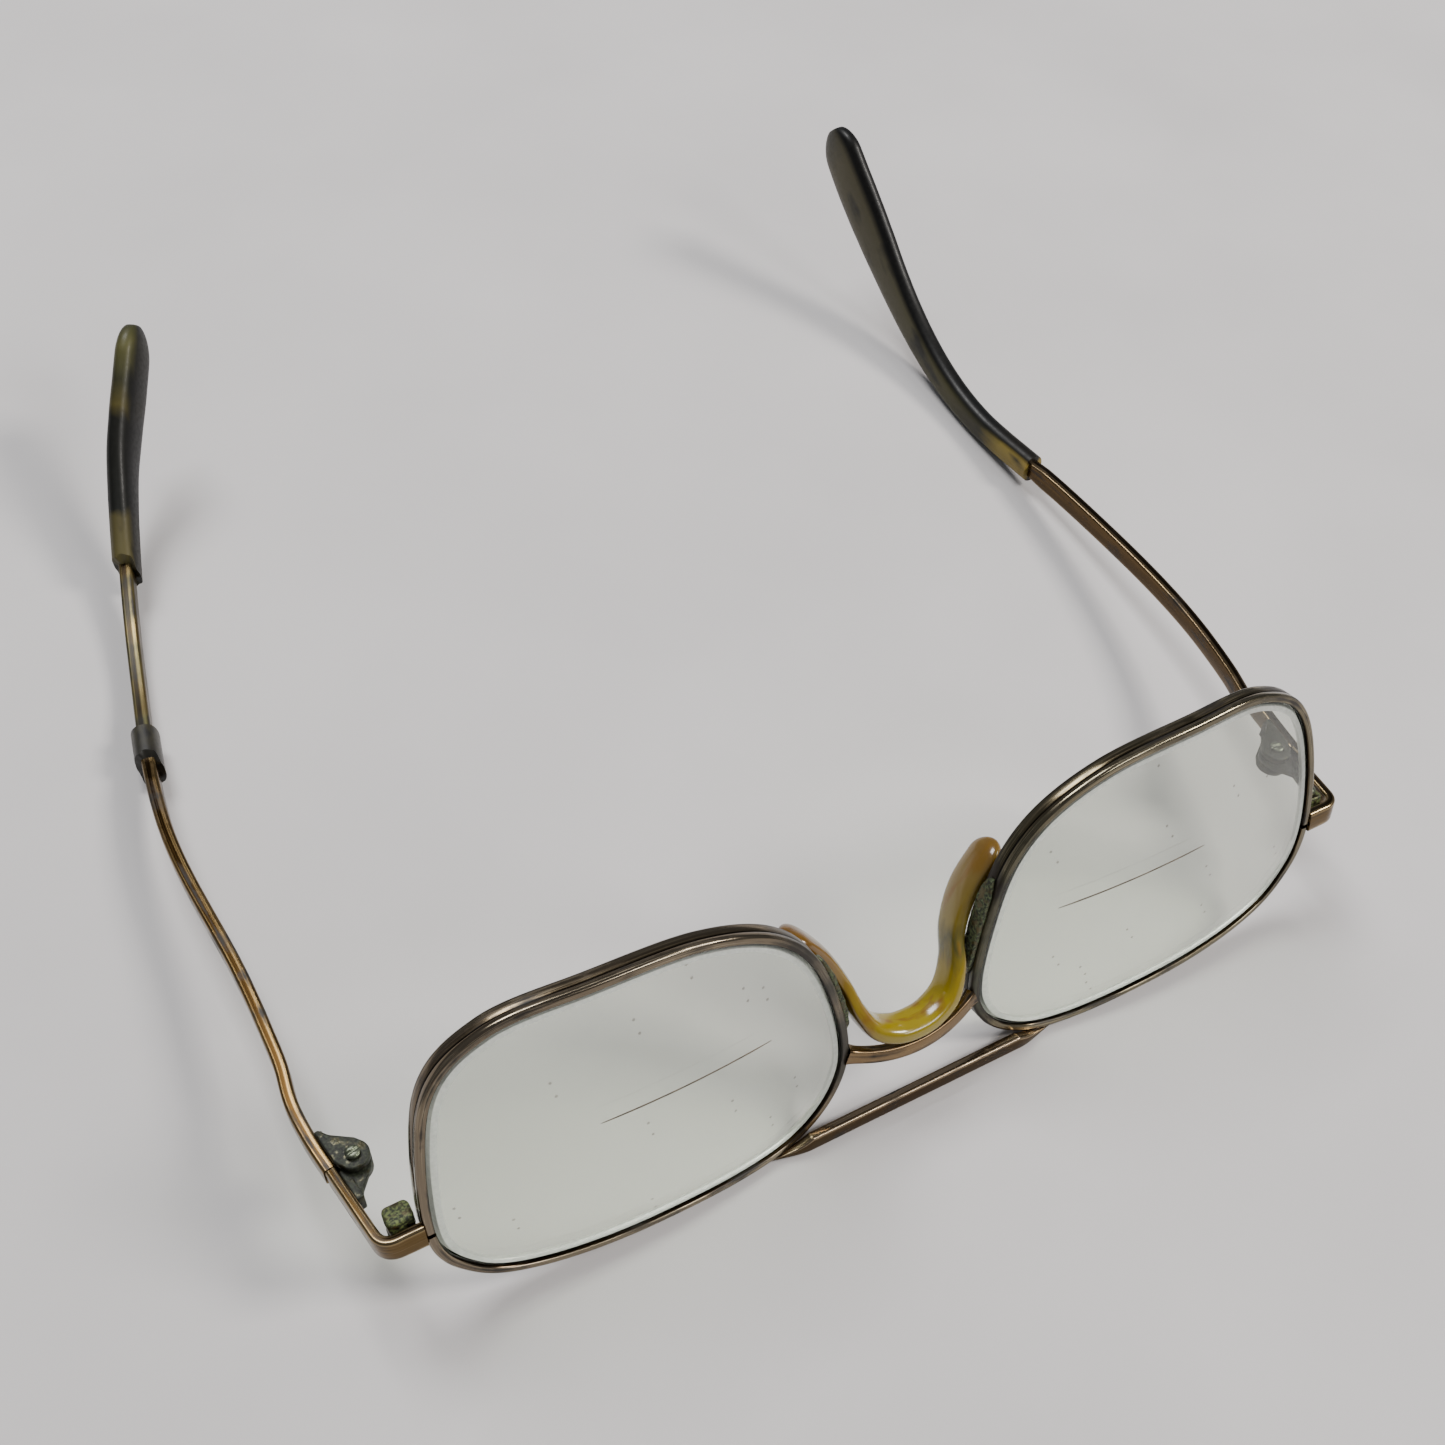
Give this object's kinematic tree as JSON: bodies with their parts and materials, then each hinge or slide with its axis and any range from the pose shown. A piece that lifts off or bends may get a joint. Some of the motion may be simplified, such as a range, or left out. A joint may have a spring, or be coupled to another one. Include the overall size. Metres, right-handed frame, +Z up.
{
  "type": "eyeglasses",
  "caption": "Metal-framed eyeglasses with a brow bar, a saddle nose pad and hinged temples with moulded ear tips.",
  "frame": {"origin": "under the middle of the glasses, on the surface they lie on; they lie upside down, on the brow bar and the bends of the temples", "axes": "+X to the side of the whole temple tip, +Y from the front to the temple tips, +Z up from the surface"},
  "size_m": [0.146, 0.1474, 0.039],
  "materials": {
    "gold_filled": "worn and dulled gold filling",
    "tarnished_metal": "tarnished green-brown",
    "screw_steel": "satin",
    "amber_acetate": "polished, translucent",
    "olive_acetate": "polished, mottled",
    "lens_glass": "clear, polished"
  },
  "bodies": {
    "front": {"brow_bar": "gold_filled", "bridge": "gold_filled", "nose_saddle": "amber_acetate", "left_rim": "gold_filled", "left_lens": "lens_glass", "left_saddle_flange": "tarnished_metal", "left_endpiece": "gold_filled", "left_rim_lock_upper": "tarnished_metal", "left_rim_lock_lower": "tarnished_metal", "left_rim_lock_screw": "screw_steel", "left_front_leaf": "tarnished_metal", "right_rim": "gold_filled", "right_lens": "lens_glass", "right_saddle_flange": "tarnished_metal", "right_endpiece": "gold_filled", "right_rim_lock_upper": "tarnished_metal", "right_rim_lock_lower": "tarnished_metal", "right_rim_lock_screw": "screw_steel", "right_front_leaf": "tarnished_metal"},
    "left_temple": {"left_temple_leaf": "tarnished_metal", "left_hinge_screw": "screw_steel", "left_temple": "gold_filled", "left_temple_tip": "olive_acetate", "left_tip_collar": "olive_acetate"},
    "right_temple": {"right_temple_leaf": "tarnished_metal", "right_hinge_screw": "screw_steel", "right_temple": "gold_filled", "right_temple_tip": "olive_acetate"}
  },
  "joints": [
    {"name": "left_hinge", "type": "hinge", "parent": "front", "child": "left_temple", "pos_m": [-0.06635, -0.05627, 0.01259], "axis": [0, -0.1305, -0.9914], "range_deg": [0, 72]},
    {"name": "right_hinge", "type": "hinge", "parent": "front", "child": "right_temple", "pos_m": [0.0618, -0.05627, 0.01259], "axis": [0, 0.1305, 0.9914], "range_deg": [0, 88]}
  ]
}
